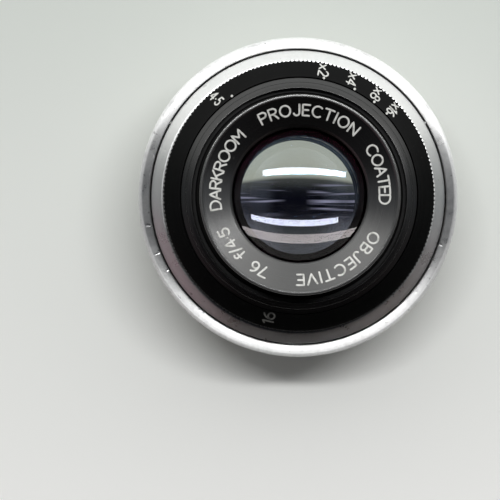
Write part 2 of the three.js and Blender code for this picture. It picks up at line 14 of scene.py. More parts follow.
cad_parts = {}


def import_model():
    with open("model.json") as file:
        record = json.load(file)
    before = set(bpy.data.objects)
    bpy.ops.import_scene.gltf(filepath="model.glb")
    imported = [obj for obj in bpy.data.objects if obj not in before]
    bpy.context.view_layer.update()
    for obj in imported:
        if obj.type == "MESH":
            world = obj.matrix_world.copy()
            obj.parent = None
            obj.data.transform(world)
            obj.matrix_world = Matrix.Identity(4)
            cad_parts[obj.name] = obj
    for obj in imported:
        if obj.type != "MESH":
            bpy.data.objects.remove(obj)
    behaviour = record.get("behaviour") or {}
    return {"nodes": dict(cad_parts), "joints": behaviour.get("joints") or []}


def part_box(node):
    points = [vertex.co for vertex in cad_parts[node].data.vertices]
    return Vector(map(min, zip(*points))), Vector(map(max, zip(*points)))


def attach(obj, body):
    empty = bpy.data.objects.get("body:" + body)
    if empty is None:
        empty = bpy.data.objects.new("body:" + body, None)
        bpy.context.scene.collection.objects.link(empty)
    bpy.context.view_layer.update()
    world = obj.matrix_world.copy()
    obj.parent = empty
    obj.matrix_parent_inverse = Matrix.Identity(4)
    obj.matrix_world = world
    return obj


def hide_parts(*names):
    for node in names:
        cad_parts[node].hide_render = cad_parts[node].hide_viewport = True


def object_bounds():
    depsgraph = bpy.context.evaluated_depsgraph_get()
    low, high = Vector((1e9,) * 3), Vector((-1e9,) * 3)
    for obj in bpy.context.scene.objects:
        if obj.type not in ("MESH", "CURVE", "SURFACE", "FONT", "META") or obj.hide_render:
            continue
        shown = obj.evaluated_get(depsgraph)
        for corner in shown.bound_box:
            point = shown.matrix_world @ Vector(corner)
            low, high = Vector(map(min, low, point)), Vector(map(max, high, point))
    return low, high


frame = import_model()
CAD_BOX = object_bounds()

MM = 0.001
TAU = 2 * math.pi
SIDES = 288  # sides of a turned piece
CORNER = 0.07 * MM  # radius that a sharp turned corner is broken to
CORNER_STEPS = 3
SHARP = math.radians(22)
STRAIGHT = math.radians(165)  # two edges of an outline that meet at more than this are one line
CORNER_SHARE = 0.35  # the largest share of an edge that a broken corner may take
TURN_DOWN = Matrix.Rotation(math.pi / 2, 4, "Y")  # takes X to -Z, and Z to X
TURN_UP = Matrix.Rotation(-math.pi / 2, 4, "Y")  # takes X to Z

# ---- Outlines ------------------------------------------------------------------------------


READ_AT = math.radians(22.5)  # a side edge of every turned node, clear of its holes and slots


def outline(node):
    """The closed [radius, z] outline of a turned CAD node, read along one of its side edges."""
    mesh = frame["nodes"][node].data
    keys = {}
    for vertex in mesh.vertices:
        x, y, z = Matrix.Rotation(-READ_AT, 3, "Z") @ vertex.co
        if x > 0 and abs(y) < 1e-6:
            keys[vertex.index] = (round(x, 6), round(z, 6))
    links = {point: set() for point in keys.values()}
    for edge in mesh.edges:
        a, b = (keys.get(index) for index in edge.vertices)
        if a and b and a != b:
            links[a].add(b)
            links[b].add(a)
    start = min(links)
    loop, last = [start], None
    while True:
        onward = sorted(point for point in links[loop[-1]] if point != last)
        last = loop[-1]
        if not onward or onward[0] == start or (len(loop) > 2 and start in onward):
            return loop
        loop.append(onward[0])


def rounded(points, radius=CORNER, steps=CORNER_STEPS):
    """The same closed outline with each real corner replaced by a short arc."""
    result = []
    for i, point in enumerate(points):
        here = Vector(point)
        before = Vector(points[i - 1]) - here
        after = Vector(points[(i + 1) % len(points)]) - here
        turn = before.angle(after)
        room = CORNER_SHARE * min(before.length, after.length)
        cut = min(radius / max(math.tan(turn / 2), 1e-3), room)
        if turn > STRAIGHT:
            result.append(here)
            continue
        start = here + before.normalized() * cut
        end = here + after.normalized() * cut
        for step in range(steps + 1):
            t = step / steps
            result.append((1 - t) ** 2 * start + 2 * t * (1 - t) * here + t**2 * end)
    return [(p[0], p[1]) for p in result]


# ---- Meshes --------------------------------------------------------------------------------


def new_object(name, verts, faces):
    """A piece with welded points, faces that look outwards and smooth shading up to SHARP."""
    mesh = bpy.data.meshes.new(name)
    mesh.from_pydata(verts, [], faces)
    mesh.validate()
    cleaner = bmesh.new()
    cleaner.from_mesh(mesh)
    bmesh.ops.remove_doubles(cleaner, verts=cleaner.verts, dist=1e-8)
    bmesh.ops.recalc_face_normals(cleaner, faces=cleaner.faces)
    cleaner.to_mesh(mesh)
    cleaner.free()
    mesh.shade_smooth()
    mesh.set_sharp_from_angle(angle=SHARP)
    piece = bpy.data.objects.new(name, mesh)
    bpy.context.scene.collection.objects.link(piece)
    return piece


def turned(name, points, sides=SIDES, shape=None):
    """Turns a closed outline about Z. shape(radius, z, angle) may give each point a new radius."""
    verts, faces = [], []
    count = len(points)
    for side in range(sides):
        angle = TAU * side / sides
        for radius, z in points:
            r = shape(radius, z, angle) if shape else radius
            verts.append((r * math.cos(angle), r * math.sin(angle), z))
    for side in range(sides):
        here, there = side * count, ((side + 1) % sides) * count
        for i in range(count):
            j = (i + 1) % count
            faces.append((here + i, there + i, there + j, here + j))
    return new_object(name, verts, faces)


def cut_with(piece, cutters):
    """Cuts other meshes out of a piece, applies the cut, and removes the cutters."""
    for cutter in cutters:
        cut = piece.modifiers.new("cut", "BOOLEAN")
        cut.operation = "DIFFERENCE"
        cut.solver = "EXACT"
        cut.object = cutter
    bpy.context.view_layer.update()
    seen = piece.evaluated_get(bpy.context.evaluated_depsgraph_get())
    mesh = bpy.data.meshes.new_from_object(seen)
    piece.modifiers.clear()
    piece.data = mesh
    mesh.set_sharp_from_angle(angle=SHARP)
    for cutter in cutters:
        bpy.data.objects.remove(cutter)
    return piece


def rod(radius, length, place, sides=32, name="rod"):
    """A plain cylinder along its own X axis, put in its place by a matrix."""
    verts, faces = [], []
    for end in (0, length):
        for side in range(sides):
            angle = TAU * side / sides
            verts.append(place @ Vector((end, radius * math.cos(angle), radius * math.sin(angle))))
    for side in range(sides):
        onward = (side + 1) % sides
        faces.append((side, onward, sides + onward, sides + side))
    faces.append(tuple(range(sides)))
    faces.append(tuple(range(sides, 2 * sides)))
    return new_object(name, [tuple(v) for v in verts], faces)


def block(size, place, name="block"):
    """A box of a given size round its own centre, put in its place by a matrix."""
    verts = []
    for x in (-0.5, 0.5):
        for y in (-0.5, 0.5):
            for z in (-0.5, 0.5):
                verts.append(tuple(place @ Vector((x * size[0], y * size[1], z * size[2]))))
    faces = [(0, 1, 3, 2), (4, 6, 7, 5), (0, 4, 5, 1), (2, 3, 7, 6), (0, 2, 6, 4), (1, 5, 7, 3)]
    return new_object(name, verts, faces)


def along(angle, radius, z):
    """A frame whose X axis runs outwards at an angle, at a radius and height."""
    return Matrix.Rotation(angle, 4, "Z") @ Matrix.Translation((radius, 0, z))


def dull_below(piece, height, material):
    """Gives the faces of a piece that lie under a height another material."""
    piece.data.materials.append(material)
    for face in piece.data.polygons:
        if face.center.z < height:
            face.material_index = 1


def stand_for(piece, node, body, material):
    """Gives a piece its body and its material, and hides the CAD node that it replaces."""
    piece.data.materials.clear()
    piece.data.materials.append(material)
    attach(piece, body)
    if node:
        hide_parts(node)
    return piece


# ---- Materials -----------------------------------------------------------------------------


class Graph:
    """A small helper that adds nodes and links to a node tree."""

    MIX_FIRST, MIX_SECOND, MIX_RESULT = 6, 7, 2  # the colour sockets of a mix node

    def __init__(self, tree):
        self.nodes = tree.nodes
        self.links = tree.links
        self.nodes.clear()

    def link(self, source, target):
        self.links.new(source, target)

    def feed(self, value, socket):
        if isinstance(value, (int, float)):
            socket.default_value = value
        else:
            self.link(value, socket)

    def math(self, operation, a, b=0.0):
        node = self.nodes.new("ShaderNodeMath")
        node.operation = operation
        self.feed(a, node.inputs[0])
        self.feed(b, node.inputs[1])
        return node.outputs[0]

    def vector(self, operation, a, b):
        node = self.nodes.new("ShaderNodeVectorMath")
        node.operation = operation
        for value, socket in ((a, node.inputs[0]), (b, node.inputs[1])):
            if isinstance(value, (tuple, Vector)):
                socket.default_value = value
            else:
                self.link(value, socket)
        return node.outputs["Vector" if operation == "MULTIPLY" else "Value"]

    def span(self, value, start, end, low=0.0, high=1.0, smooth=False):
        """Maps a value from one range to another, and stops at the ends."""
        node = self.nodes.new("ShaderNodeMapRange")
        node.interpolation_type = "SMOOTHSTEP" if smooth else "LINEAR"
        limits = (("From Min", start), ("From Max", end), ("To Min", low), ("To Max", high))
        for label, limit in limits:
            node.inputs[label].default_value = limit
        self.feed(value, node.inputs["Value"])
        return node.outputs[0]

    def ramp(self, value, *stops):
        """Turns a value into a colour by (place, colour) stops."""
        node = self.nodes.new("ShaderNodeValToRGB")
        elements = node.color_ramp.elements
        while len(elements) < len(stops):
            elements.new(0.5)
        for element, (place, colour) in zip(elements, stops):
            element.position = place
            element.color = (*colour, 1)
        self.link(value, node.inputs[0])
        return node.outputs[0]

    def mixed(self, amount, first, second):
        """The first colour where the amount is 0 and the second where it is 1."""
        node = self.nodes.new("ShaderNodeMix")
        node.data_type = "RGBA"
        self.link(amount, node.inputs["Factor"])
        for value, index in ((first, self.MIX_FIRST), (second, self.MIX_SECOND)):
            if isinstance(value, tuple):
                node.inputs[index].default_value = (*value, 1)
            else:
                self.link(value, node.inputs[index])
        return node.outputs[self.MIX_RESULT]

    def position(self):
        """The point of the piece that is shaded, in its own frame."""
        return self.nodes.new("ShaderNodeTexCoord").outputs["Object"]

    def parts(self, vector):
        node = self.nodes.new("ShaderNodeSeparateXYZ")
        self.link(vector, node.inputs[0])
        return node.outputs

    def noise(self, vector, scale, detail=3.0, roughness=0.55):
        node = self.nodes.new("ShaderNodeTexNoise")
        node.inputs["Scale"].default_value = scale
        node.inputs["Detail"].default_value = detail
        node.inputs["Roughness"].default_value = roughness
        self.link(vector, node.inputs["Vector"])
        return node.outputs["Fac"]

    def radius(self):
        """Distance from the axis of the lens, in metres."""
        x, y, _ = self.parts(self.position())
        flat = self.math("ADD", self.math("MULTIPLY", x, x), self.math("MULTIPLY", y, y))
        return self.math("SQRT", flat)

    def grooves(self, scale):
        """Fine circular tool marks: noise that only changes with radius and height."""
        joined = self.nodes.new("ShaderNodeCombineXYZ")
        self.link(self.radius(), joined.inputs[0])
        self.link(self.parts(self.position())[2], joined.inputs[1])
        return self.noise(joined.outputs[0], scale / MM, 2.0, 0.6)


class Shader(Graph):
    """A new material with one principled surface."""

    def __init__(self, name, **values):
        self.material = bpy.data.materials.new(name)
        self.material.use_nodes = True
        super().__init__(self.material.node_tree)
        output = self.nodes.new("ShaderNodeOutputMaterial")
        surface = self.nodes.new("ShaderNodeBsdfPrincipled")
        self.sockets = surface.inputs
        self.link(surface.outputs[0], output.inputs[0])
        for label, value in values.items():
            self.sockets[label.replace("_", " ")].default_value = value

    def use(self, label, source):
        self.link(source, self.sockets[label])

    def bump(self, height, strength, distance):
        node = self.nodes.new("ShaderNodeBump")
        node.inputs["Strength"].default_value = strength
        node.inputs["Distance"].default_value = distance
        self.link(height, node.inputs["Height"])
        self.use("Normal", node.outputs[0])

    def turned_grain(self):
        """Lets the reflections run out across the circular tool marks."""
        tangent = self.nodes.new("ShaderNodeTangent")
        tangent.direction_type = "RADIAL"
        tangent.axis = "Z"
        self.use("Tangent", tangent.outputs[0])


FLANGE_CREVICE = 22.15 * MM  # radius of the crevice on the mount ring, darkened by painted contact shade and dirt
BARREL_CREVICE = 20.15 * MM  # and on the main barrel
CREVICE_REACH = (0.05 * MM, 0.3 * MM)
RUBBED_EDGE = (23.3 * MM, 23.6 * MM)  # the surface gets duller between these radii
BARE_ALUMINIUM = (0.88, 0.885, 0.88)
# colour of the painted contact shade, with some dirt, in the crevices
CREVICE_SHADE_AND_DIRT = (0.03, 0.03, 0.03)


def satin_aluminium(name, wear, grain, crevice):
    """Turned and polished aluminium with tool marks, dull worn patches, stains and dents, painted
    contact shade with some grime darkening one radius, and an outer edge that is dull from
    handling."""
    m = Shader(name, Metallic=1.0, Anisotropic=grain, Anisotropic_Rotation=0.25)
    m.turned_grain()
    marks = m.grooves(9)
    patches = m.noise(m.position(), 260, 6.0, 0.7)
    mottle = m.noise(m.position(), 1700, 3.0, 0.7)
    stains = m.span(m.noise(m.position(), 1100, 1.0), 0.73, 0.78)
    dents = m.span(m.noise(m.position(), 800, 1.0), 0.7, 0.76)
    dull = tuple(c * (1 - 0.35 * wear) for c in BARE_ALUMINIUM)
    dark = tuple(c * 0.6 for c in BARE_ALUMINIUM)
    base = m.ramp(patches, (0.4, dull), (0.5, BARE_ALUMINIUM), (1.0, BARE_ALUMINIUM))
    worn = m.mixed(m.span(mottle, 0.4, 0.6, 0.35 * wear, 0.0), base, dark)
    # painted contact shade with some dirt: darker close to the crevice radius
    away = m.math("ABSOLUTE", m.math("SUBTRACT", m.radius(), crevice))
    dirt_and_shade = m.span(away, *CREVICE_REACH, 0.8, 0.0)
    m.use("Base Color", m.mixed(dirt_and_shade, m.mixed(stains, worn, dark), CREVICE_SHADE_AND_DIRT))
    rubbed = m.span(m.radius(), *RUBBED_EDGE, 0.0, 0.2)
    m.use("Roughness", m.math("ADD", m.span(patches, 0.35, 0.65, 0.36, 0.26), rubbed))
    relief = m.math("ADD", marks, m.math("MULTIPLY", mottle, 0.5))
    m.bump(m.math("SUBTRACT", relief, m.math("MULTIPLY", dents, 6)), 0.1, 0.02 * MM)
    return m.material


def black_anodised(name, colour, index, rough, marks=14, depth=0.15, dust=0.0, grain=0.0):
    """Black anodised aluminium, finely turned, with a little dust and rubbed spots."""
    m = Shader(name, IOR=index, Anisotropic=grain)
    m.sockets["Anisotropic Rotation"].default_value = 0.25
    m.turned_grain()
    lines = m.grooves(marks)
    cloud = m.noise(m.position(), 500, 5.0, 0.7)
    motes = m.span(m.noise(m.position(), 3500, 2.0, 0.6), 0.68, 0.78)
    grey = tuple(c * 2 + 0.006 * dust for c in colour)
    fluff = tuple(c + 0.25 * dust for c in colour)
    base = m.ramp(cloud, (0.35, colour), (0.7, grey))
    m.use("Base Color", m.mixed(motes, base, fluff))
    m.use("Roughness", m.span(lines, 0.3, 0.7, rough * 0.8, rough * 1.2))
    m.bump(m.math("ADD", lines, m.math("MULTIPLY", cloud, 0.3)), depth, 0.03 * MM)
    return m.material


def plain_metal(name, colour, rough):
    """A small metal piece with faint stains and turning marks."""
    m = Shader(name, Metallic=1.0)
    stain = m.noise(m.position(), 700, 4.0)
    darker = tuple(c * 0.65 for c in colour)
    m.use("Base Color", m.ramp(stain, (0.3, darker), (0.6, colour)))
    lines = m.grooves(10)
    m.use("Roughness", m.span(lines, 0.3, 0.7, rough * 0.8, rough * 1.3))
    m.bump(lines, 0.1, 0.02 * MM)
    return m.material


def paint(name, clean, dirty):
    """Paint in the engraving, dirty in places."""
    m = Shader(name, Roughness=0.55)
    dirt_and_shade = m.noise(m.position(), 1500, 3.0)
    m.use("Base Color", m.ramp(dirt_and_shade, (0.3, dirty), (0.5, clean)))
    m.bump(dirt_and_shade, 0.2, 0.02 * MM)
    return m.material


def coated_glass(name, index, film, film_index, tint, shine=(1.0, 1.0, 1.0)):
    """Clear polished glass under one thin film, whose thickness is given in nanometres."""
    m = Shader(name, Transmission_Weight=1.0, Roughness=0.0, IOR=index)
    m.sockets["Thin Film Thickness"].default_value = film
    m.sockets["Thin Film IOR"].default_value = film_index
    m.sockets["Specular Tint"].default_value = (*shine, 1.0)
    haze = m.noise(m.position(), 400, 3.0)
    m.use("Base Color", m.ramp(haze, (0.2, tint), (0.8, (1.0, 1.0, 1.0))))
    return m.material


SILVER = satin_aluminium("silver_flange", 0.4, 0.92, FLANGE_CREVICE)
SILVER_BARREL = satin_aluminium("silver_barrel", 0.1, 0.4, BARREL_CREVICE)
RING_BLACK = black_anodised("ring_black", (0.0004, 0.0005, 0.0005), 1.24, 0.4, 10, 0.12, 0.08)
COLLAR_BLACK = black_anodised("collar_black", (0.001, 0.001, 0.0011), 1.8, 0.25, 5, 0.5, 0.1, 0.3)
NAME_BLACK = black_anodised("name_black", (0.0003, 0.0003, 0.0003), 2.3, 0.24, 16, 0.15, 0.05, 0.2)
GROOVE_BLACK = black_anodised("groove_black", (0.009, 0.0092, 0.0095), 1.3, 0.5, 8, 0.2, 0.1)
BARREL_BLACK = black_anodised("barrel_black", (0.0008, 0.0008, 0.0008), 1.16, 0.5, 8, 0.2, 0.1)
BRASS = plain_metal("dull_brass", (0.55, 0.42, 0.2), 0.35)
STEEL = plain_metal("screw_steel", (0.5, 0.5, 0.5), 0.3)
BLUED = plain_metal("blued_steel", (0.2, 0.2, 0.22), 0.35)
WHITE = paint("white_fill", (0.72, 0.72, 0.69), (0.42, 0.42, 0.39))
WORN_WHITE = paint("worn_fill", (0.075, 0.075, 0.07), (0.02, 0.02, 0.02))
EDGE_BLACK = black_anodised("edge_black", (0.0015, 0.0015, 0.0015), 1.2, 0.6)
FRONT_GLASS = coated_glass("front_glass", 1.61, 134, 1.5, (0.97, 0.99, 0.98))
# a less reflective copy of the front glass for its rim zone: painted shade
PAINTED_SHADE_RIM_GLASS = coated_glass("front_rim_painted_shade", 1.61, 105, 1.27, (0.97, 0.99, 0.98))
MIDDLE_GLASS = coated_glass(
    "middle_glass", 1.66, 34, 1.9, (0.97, 0.98, 0.99), shine=(0.95, 0.88, 1.0)
)
REAR_GLASS = coated_glass("rear_glass", 1.6, 100, 1.38, (0.98, 0.98, 0.97))
CEMENT = coated_glass("cement", 1.0, 0, 1.0, (0.99, 0.99, 0.98))

# ---- Silver outer pieces -------------------------------------------------------------------

THREAD_PITCH = 25.4 / 26 * MM
THREAD_ROOT = 18.9 * MM
THREAD_CREST = 19.5 * MM
THREAD_STEP = THREAD_PITCH / 12
TOOTH_TOP = 1.15  # over 1, so that the crests are a little flat
TOOTH_FLANK = 2.6  # how steeply a tooth falls to each side, per pitch
RUN_IN = 0.8  # pitches in which the thread starts at the rear
RUN_OUT = 0.3  # and in which it ends at the flange
SCREW_Z = 13.7 * MM
SCREW_ANGLES = [math.radians(a) for a in (30, 150, 270)]
SCREW_HOLE = (0.8 * MM, 3 * MM, 21.5 * MM)  # radius, length and where it starts
SCREW_RADIUS = 0.7 * MM
SCREW_ENDS = (22.05 * MM, 23.7 * MM)
SCREW_SLOT = (0.22 * MM, 0.35 * MM)  # width and depth
WITNESS_PLACE = (22.95 * MM, 15.7 * MM)  # radius and height of the two small dots
WITNESS_ANGLES = [math.radians(a) for a in (91.3, 93.2)]
WITNESS_SIZE = (0.13 * MM, 0.5 * MM)  # radius and depth of the drilling
LOCK_SLOT = (40 * MM, 1.4 * MM, 1.2 * MM)


def in_steps(points, radius, step):
    """Cuts the stretches of an outline that lie at one radius into short steps."""
    result = []
    for i, here in enumerate(points):
        onward = points[(i + 1) % len(points)]
        result.append(here)
        if abs(here[0] - radius) < 1e-6 and abs(onward[0] - radius) < 1e-6:
            parts = int(abs(onward[1] - here[1]) / step)
            for part in range(1, parts):
                result.append((radius, here[1] + (onward[1] - here[1]) * part / parts))
    return result


def mount_ring():
    """The flange, with a real helical thread, screw holes and the two witness dots."""
    points = outline("mount_ring")
    thread_ends = sorted(z for r, z in points if abs(r - THREAD_ROOT) < 1e-5)
    low, high = thread_ends[0], thread_ends[-2]
    kept = [p for p in points if not (low < p[1] < high and THREAD_ROOT - 1e-5 < p[0])]

    def helix(radius, z, angle):
        if abs(radius - THREAD_ROOT) > 1e-6 or not low < z < high:
            return radius
        phase = ((z - low) / THREAD_PITCH - angle / TAU) % 1.0
        tooth = min(1.0, max(0.0, TOOTH_TOP - abs(phase - 0.5) * TOOTH_FLANK))
        start, end = (z - low) / (RUN_IN * THREAD_PITCH), (high - z) / (RUN_OUT * THREAD_PITCH)
        fade = min(1.0, start, end)
        return THREAD_ROOT + (THREAD_CREST - THREAD_ROOT) * tooth * fade

    profile = in_steps(rounded(kept), THREAD_ROOT, THREAD_STEP)
    ring = turned("mount_ring_turned", profile, shape=helix)
    radius, length, start = SCREW_HOLE
    holes = [rod(radius, length, along(angle, start, SCREW_Z)) for angle in SCREW_ANGLES]
    for angle in WITNESS_ANGLES:
        holes.append(rod(*WITNESS_SIZE, along(angle, *WITNESS_PLACE) @ TURN_DOWN))
    cut_with(ring, holes)
    stand_for(ring, "mount_ring", "barrel", SILVER)


def slotted_screw(name, radius, start, end, angle, z, slot_width, slot_depth):
    """A headless screw that lies along a radius, with a broken edge and a slot in its outer end."""
    length = end - start
    screw = turned(name, rounded([(0, 0), (radius, 0), (radius, length), (0, length)]), 48)
    screw.data.transform(along(angle, start, z) @ TURN_DOWN)
    slot = block((2 * slot_depth, 3 * radius, slot_width), along(angle, end, z))
    return cut_with(screw, [slot])


def rim_screws():
    for number, angle in enumerate(SCREW_ANGLES, 1):
        node = f"orientation_screw_{number}"
        name = f"{node}_slotted"
        screw = slotted_screw(name, SCREW_RADIUS, *SCREW_ENDS, angle, SCREW_Z, *SCREW_SLOT)
        stand_for(screw, node, "barrel", STEEL)


def silver_pieces():
    mount_ring()
    barrel = turned("main_barrel_turned", rounded(outline("main_barrel")))
    stand_for(barrel, "main_barrel", "barrel", SILVER_BARREL)
    lock = turned("mount_lock_ring_turned", rounded(outline("mount_lock_ring")))
    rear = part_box("mount_lock_ring")[0].z
    cut_with(lock, [block(LOCK_SLOT, Matrix.Translation((0, 0, rear)))])
    stand_for(lock, "mount_lock_ring", "barrel", BRASS)
    rim_screws()


# ---- Black turned pieces -------------------------------------------------------------------

KNURL_TEETH = 200
KNURL_ROOT = 19.8 * MM
KNURL_CHAMFERS = (0.35 * MM, 0.2 * MM)  # at the rear and front edge
KNURL_CORNER = 0.04 * MM
KNURL_SLOPE = 1.3
KNURL_SINK = 0.1
FACE_FOOT = (19.85 * MM, 21.1 * MM)
REBATE_Z = 21.0 * MM
DRIVE_ANGLE = math.radians(200)
DRIVE_Z = 18.05 * MM
DRIVE_HOLE = (1.25 * MM, 3 * MM, 18.15 * MM)  # radius, length and where it starts
DRIVE_HEAD = (1.1 * MM, 18.25 * MM, 19.35 * MM)  # radius and both ends
DRIVE_HEAD_SLOT = (0.3 * MM, 0.4 * MM)  # width and depth
DRIVE_PINS = (("shank", 0.62 * MM, 15.3 * MM, 18.4 * MM), ("tip", 0.34 * MM, 12.75 * MM, 15.4 * MM))
DRIVE_SLOT_ENDS = (math.radians(195), math.radians(286))
DRIVE_SLOT_STEPS = 40
DRIVE_SLOT_CORNERS = ((12.6, -0.8), (12.6, 0.8), (17.75, 0.8), (17.75, -0.8))  # in mm
SPANNER_SLOT = 0.8 * MM
PIVOT_HOLE_RADIUS = 0.4 * MM
PIVOT_HOLE_DEPTH = 2 * MM
PIVOT_HOLE_TOP = 16 * MM
PIN_SIDES = 20
RECESS_Z = 22.1 * MM  # just over the bottom of the groove round the name ring


def aperture_ring():
    """The ring with its straight knurl, whose teeth fade into a chamfer at both edges."""
    low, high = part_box("aperture_ring")
    crest = high.x
    bore = min(r for r, z in outline("aperture_ring"))
    face_top = max(outline("aperture_ring"), key=lambda point: point[1])
    profile = [
        (bore, low.z),
        (KNURL_ROOT, low.z),
        (crest, low.z + KNURL_CHAMFERS[0]),
        (crest, FACE_FOOT[1] - KNURL_CHAMFERS[1]),
        FACE_FOOT,
        face_top,
        (face_top[0], REBATE_Z),
        (bore, REBATE_Z),
    ]

    def knurl(radius, z, angle):
        if radius < KNURL_ROOT or z > FACE_FOOT[1] - KNURL_CORNER:
            return radius
        tooth = abs((angle * KNURL_TEETH / TAU) % 1.0 - 0.5) * 2
        height = min(1.0, max(0.0, KNURL_SLOPE * tooth - KNURL_SINK))
        return KNURL_ROOT + (radius - KNURL_ROOT) * height

    profile = rounded(profile, KNURL_CORNER)
    ring = turned("aperture_ring_turned", profile, KNURL_TEETH * 6, shape=knurl)
    radius, length, start = DRIVE_HOLE
    cut_with(ring, [rod(radius, length, along(DRIVE_ANGLE, start, DRIVE_Z))])
    stand_for(ring, "aperture_ring", "aperture_ring", RING_BLACK)


def drive_screw():
    """The cheese-headed screw that drives the iris, on a shank and a thin tip."""
    head = slotted_screw("drive_screw_head", *DRIVE_HEAD, DRIVE_ANGLE, DRIVE_Z, *DRIVE_HEAD_SLOT)
    stand_for(head, "drive_screw", "aperture_ring", STEEL)
    for name, radius, start, end in DRIVE_PINS:
        place = along(DRIVE_ANGLE, start, DRIVE_Z)
        pin = rod(radius, end - start, place, name=f"drive_screw_{name}")
        stand_for(pin, None, "aperture_ring", STEEL)


BLACK_PARTS = (
    ("front_collar", COLLAR_BLACK, "black_collar"),
    ("name_ring", NAME_BLACK, "black_name_ring"),
    ("front_barrel", BARREL_BLACK, "black_barrel"),
    ("front_cell", BARREL_BLACK, "black_barrel"),
    ("front_spacer", BARREL_BLACK, "black_barrel"),
    ("iris_base_plate", BARREL_BLACK, "black_barrel"),
    ("iris_retaining_ring", BARREL_BLACK, "black_barrel"),
    ("middle_retaining_ring", BARREL_BLACK, "black_barrel"),
    ("rear_retaining_ring", BARREL_BLACK, "black_barrel"),
    ("rear_cell", BARREL_BLACK, "black_barrel"),
)


def ring_slots(node, depth, at_top):
    """A bar that cuts the two spanner slots of a retaining ring."""
    low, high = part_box(node)
    place = Matrix.Translation((0, 0, high.z if at_top else low.z))
    return block((3 * high.x, SPANNER_SLOT, 2 * depth), place)


def drive_slot():
    """The arc-shaped opening in the front barrel that the drive screw runs in."""
    start, end = DRIVE_SLOT_ENDS
    steps = DRIVE_SLOT_STEPS
    verts, faces = [], []
    for step in range(steps + 1):
        angle = start + (end - start) * step / steps
        for radius, lift in DRIVE_SLOT_CORNERS:
            x, y = radius * MM * math.cos(angle), radius * MM * math.sin(angle)
            verts.append((x, y, DRIVE_Z + lift * MM))
    for step in range(steps):
        here = 4 * step
        for i in range(4):
            j = (i + 1) % 4
            faces.append((here + i, here + j, here + 4 + j, here + 4 + i))
    faces.append((0, 1, 2, 3))
    faces.append(tuple(4 * steps + i for i in range(4)))
    return new_object("drive_slot", verts, faces)


def pivot_holes():
    """A drilling for each blade pivot, from over the base plate down through it."""
    holes = []
    for joint in frame["joints"]:
        if joint["name"].startswith("blade_pivot"):
            x, y, _ = joint["pos_m"]
            top = Matrix.Translation((x, y, PIVOT_HOLE_TOP))
            holes.append(rod(PIVOT_HOLE_RADIUS, PIVOT_HOLE_DEPTH, top @ TURN_DOWN, PIN_SIDES))
    return holes


def black_pieces():
    aperture_ring()
    drive_screw()
    cuts = {
        "front_barrel": [drive_slot()],
        "iris_base_plate": pivot_holes(),
        "iris_retaining_ring": [ring_slots("iris_retaining_ring", 0.35 * MM, True)],
        "middle_retaining_ring": [ring_slots("middle_retaining_ring", 0.25 * MM, False)],
        "rear_retaining_ring": [ring_slots("rear_retaining_ring", 0.5 * MM, False)],
    }
    for node, material, slot in BLACK_PARTS:
        piece = turned(f"{node}_turned", rounded(outline(node)))
        if node in cuts:
            cut_with(piece, cuts[node])
        stand_for(piece, node, "barrel", material)
        if node == "front_collar":
            dull_below(piece, RECESS_Z, GROOVE_BLACK)


def kept_pieces():
    """The CAD nodes whose shape is right as it is."""
    for node, material in (("wave_spring", STEEL), ("iris_actuating_ring", BRASS)):
        materials = frame["nodes"][node].data.materials
        materials.clear()
        materials.append(material)


# ---- Iris blades ---------------------------------------------------------------------------

BLADES = 8
BLADE_HALF_WIDTH = 1.9 * MM
BLADE_SPAN = math.radians(130)
BLADE_OVERHANG = math.radians(6)
BLADE_RISE = 1.8 * MM
BLADE_LOW_Z = 15.5 * MM
BLADE_THICKNESS = 0.08 * MM
BLADE_STEPS = 72
BLADE_TAPER = 0.7  # how much of the width the rounded ends take off
PIN_RADIUS = 0.3 * MM
PIVOT_PIN_LOW = 14.7 * MM
DRIVE_PIN_HIGH = 18.5 * MM


def blade_strip(name, circle, start):
    """A thin strip with rounded ends that rises steadily from its pivot to its drive pin."""
    verts, faces = [], []
    for step in range(BLADE_STEPS + 1):
        angle = -BLADE_OVERHANG + (BLADE_SPAN + 2 * BLADE_OVERHANG) * step / BLADE_STEPS
        past = max(-angle, angle - BLADE_SPAN, 0.0) / BLADE_OVERHANG
        half = BLADE_HALF_WIDTH * math.sqrt(1 - BLADE_TAPER * past**2)
        z = BLADE_LOW_Z + BLADE_RISE * angle / BLADE_SPAN
        for radius in (circle - half, circle + half):
            for lift in (-BLADE_THICKNESS / 2, BLADE_THICKNESS / 2):
                turn = start + angle
                verts.append((radius * math.cos(turn), radius * math.sin(turn), z + lift))
    for step in range(BLADE_STEPS):
        a, b = 4 * step, 4 * step + 4
        for i, j in ((0, 1), (1, 3), (3, 2), (2, 0)):
            faces.append((a + i, a + j, b + j, b + i))
    last = 4 * BLADE_STEPS
    faces.append((0, 1, 3, 2))
    faces.append((last, last + 1, last + 3, last + 2))
    return new_object(name, verts, faces)


def iris_blade(number):
    """One blade, with the pivot pin below one end and the drive pin above the other."""
    node = f"iris_blade_{number}"
    joint = next(j for j in frame["joints"] if j["name"] == f"blade_pivot_{number}")
    pivot = Vector(joint["pos_m"])
    circle = math.hypot(pivot.x, pivot.y)
    start = math.atan2(pivot.y, pivot.x)
    blade = blade_strip(f"{node}_strip", circle, start)
    stand_for(blade, node, node, BLUED)
    pins = (
        ("pivot", 0.0, PIVOT_PIN_LOW, BLADE_LOW_Z),
        ("drive", BLADE_SPAN, BLADE_LOW_Z + BLADE_RISE, DRIVE_PIN_HIGH),
    )
    for name, angle, low, high in pins:
        x = circle * math.cos(start + angle)
        y = circle * math.sin(start + angle)
        place = Matrix.Translation((x, y, low)) @ TURN_UP
        pin = rod(PIN_RADIUS, high - low, place, PIN_SIDES, f"{node}_{name}_pin")
        stand_for(pin, None, node, STEEL)


# ---- Glass ---------------------------------------------------------------------------------

SURFACE_RINGS = 40
GLASS_SIDES = 192
FRONT_RIM_RADIUS = 8.6 * MM  # the rim of the front surface, given a less reflective glass as painted shade, starts here
EDGE_SLOT, CEMENT_SLOT, RIM_SLOT = 1, 2, 3  # places in an element's list of materials
EDGE_SLOPE = 0.1  # a face whose normal is flatter than this belongs to the edge


